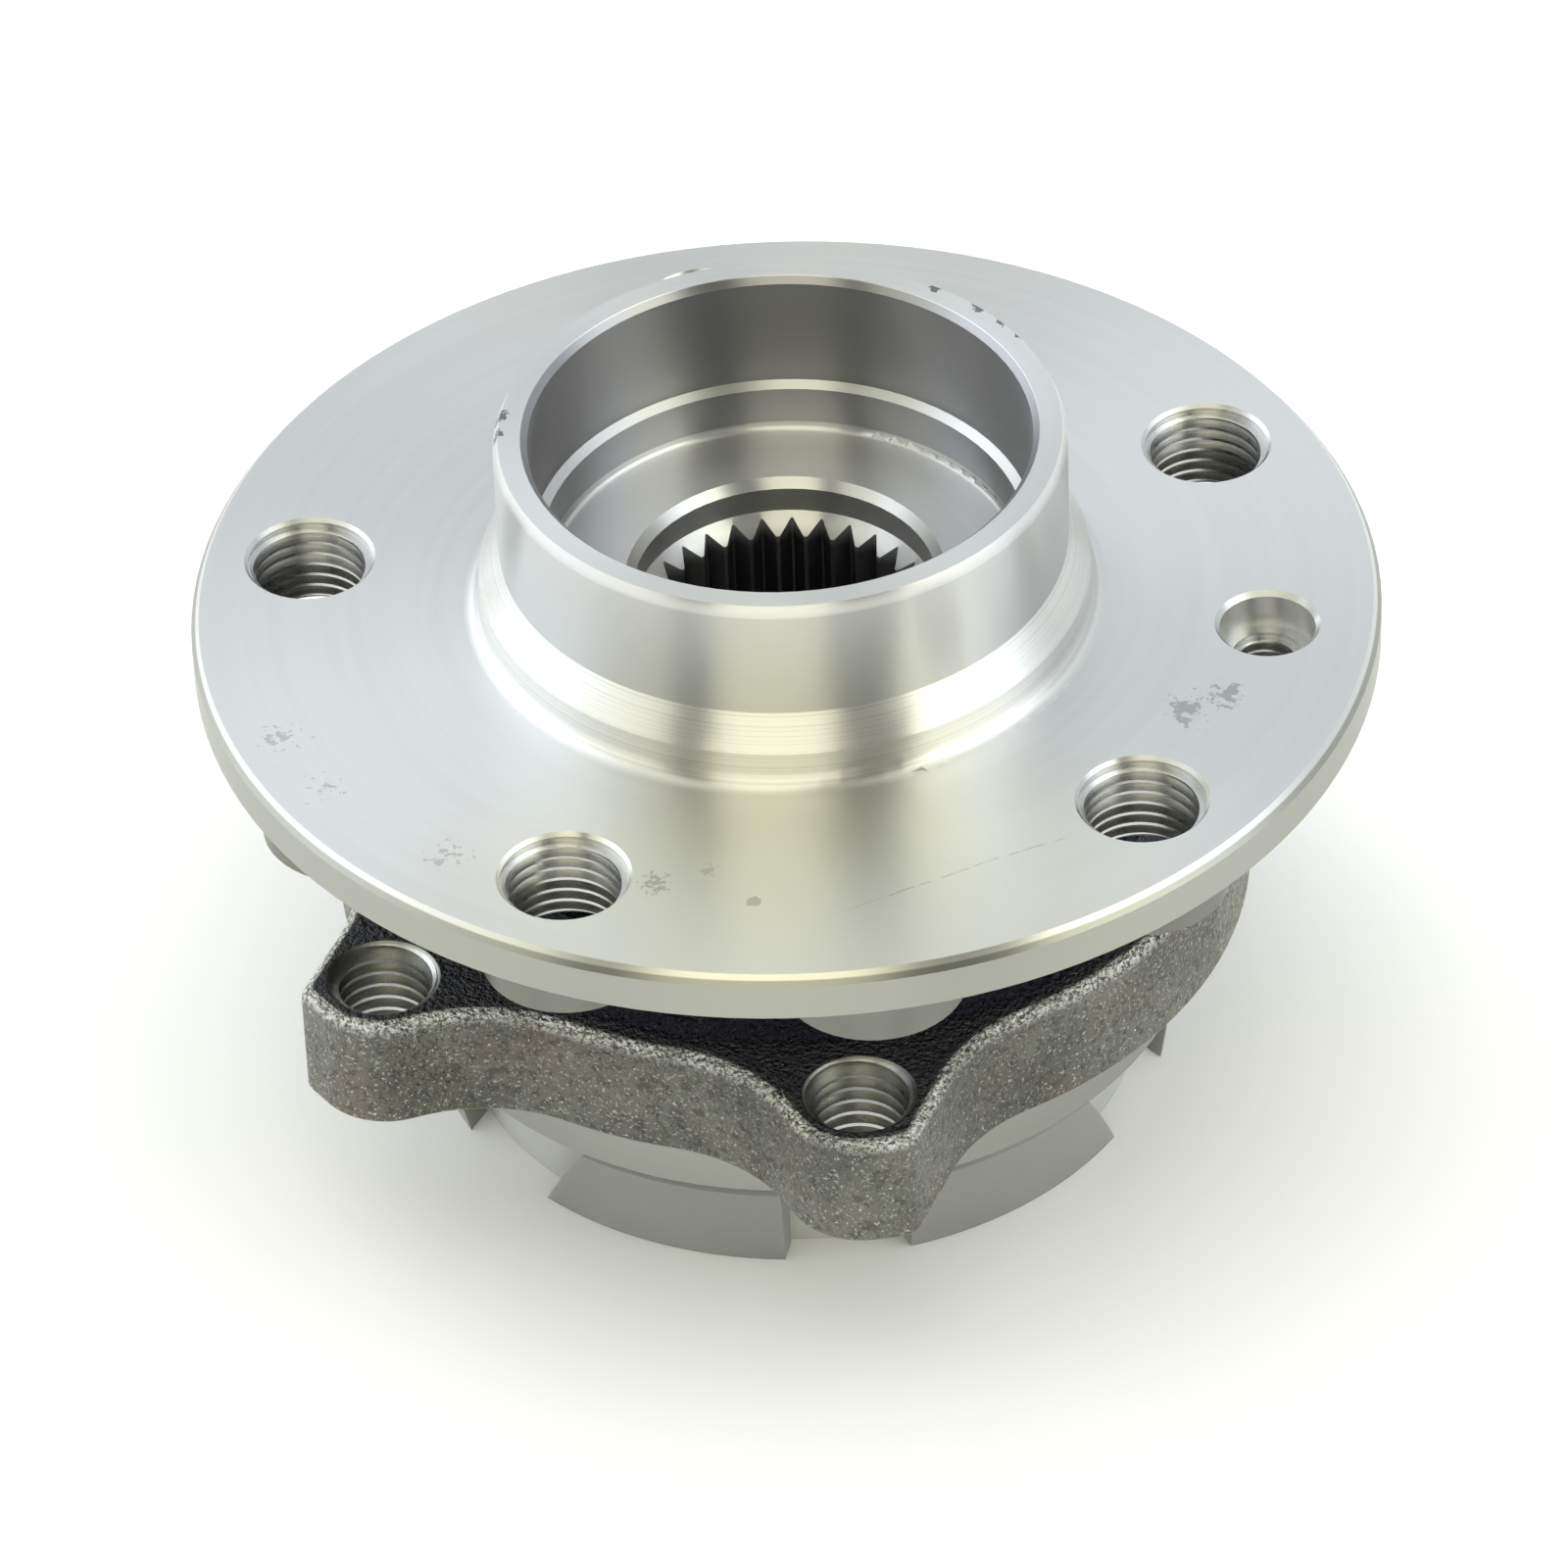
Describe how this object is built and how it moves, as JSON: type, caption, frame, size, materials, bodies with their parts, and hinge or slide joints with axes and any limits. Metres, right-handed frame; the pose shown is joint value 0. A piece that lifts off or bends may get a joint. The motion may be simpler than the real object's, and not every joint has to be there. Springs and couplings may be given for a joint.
{
  "type": "wheel hub bearing",
  "caption": "Flanged wheel hub bearing for a driven axle: turned hub with pilot ring and splined bore, forged outer ring with bolt ears, standing on its plastic cap.",
  "frame": {"origin": "on the bearing's axis, in the flange face that the brake disc and the wheel sit on", "axes": "+Z along the axis, out towards the wheel; the knuckle bolts' rectangle has its short side along X and its long side along Y"},
  "size_m": [0.1328, 0.1328, 0.0848],
  "materials": {
    "turned_steel": "bright turned steel with fine circular tool marks",
    "forged_steel": "dark grainy forging skin with machined faces",
    "ground_steel": "ground and hardened bearing steel",
    "ball_steel": "polished bearing steel",
    "cage_plastic": "brown glass-filled polyamide",
    "seal_steel": "pressed stainless sheet",
    "seal_rubber": "black nitrile rubber",
    "encoder_rubber": "magnetised rubber, fine radial grain",
    "cap_plastic": "pale translucent grey polyethylene"
  },
  "bodies": {
    "outer_ring": {"outer_ring": "forged_steel", "outboard_seal_case": "seal_steel", "outboard_seal_rubber": "seal_rubber", "inboard_seal_case": "seal_steel", "inboard_seal_rubber": "seal_rubber"},
    "hub": {"wheel_hub": "turned_steel", "inner_ring": "ground_steel", "seal_slinger": "seal_steel", "speed_encoder_ring": "encoder_rubber"},
    "outboard_row": {"outboard_cage": "cage_plastic", "outboard_ball_01": "ball_steel", "outboard_ball_02": "ball_steel", "outboard_ball_03": "ball_steel", "outboard_ball_04": "ball_steel", "outboard_ball_05": "ball_steel", "outboard_ball_06": "ball_steel", "outboard_ball_07": "ball_steel", "outboard_ball_08": "ball_steel", "outboard_ball_09": "ball_steel", "outboard_ball_10": "ball_steel", "outboard_ball_11": "ball_steel", "outboard_ball_12": "ball_steel", "outboard_ball_13": "ball_steel", "outboard_ball_14": "ball_steel"},
    "inboard_row": {"inboard_cage": "cage_plastic", "inboard_ball_01": "ball_steel", "inboard_ball_02": "ball_steel", "inboard_ball_03": "ball_steel", "inboard_ball_04": "ball_steel", "inboard_ball_05": "ball_steel", "inboard_ball_06": "ball_steel", "inboard_ball_07": "ball_steel", "inboard_ball_08": "ball_steel", "inboard_ball_09": "ball_steel", "inboard_ball_10": "ball_steel", "inboard_ball_11": "ball_steel", "inboard_ball_12": "ball_steel", "inboard_ball_13": "ball_steel", "inboard_ball_14": "ball_steel"},
    "cap": {"protective_cap": "cap_plastic"}
  },
  "joints": [
    {"name": "hub_spin", "type": "hinge", "parent": "outer_ring", "child": "hub", "pos_m": [0, 0, 0], "axis": [0, 0, 1], "continuous": true},
    {"name": "outboard_row_spin", "type": "hinge", "parent": "outer_ring", "child": "outboard_row", "pos_m": [0, 0, -0.0216], "axis": [0, 0, 1], "continuous": true},
    {"name": "inboard_row_spin", "type": "hinge", "parent": "outer_ring", "child": "inboard_row", "pos_m": [0, 0, -0.0382], "axis": [0, 0, 1], "continuous": true},
    {"name": "cap_pull", "type": "slide", "parent": "outer_ring", "child": "cap", "axis": [0, 0, -1], "range_m": [0, 0.02]}
  ],
  "couplings": [
    {"joint": "outboard_row_spin", "follows": "hub_spin", "ratio": 0.4341},
    {"joint": "inboard_row_spin", "follows": "hub_spin", "ratio": 0.4341}
  ]
}
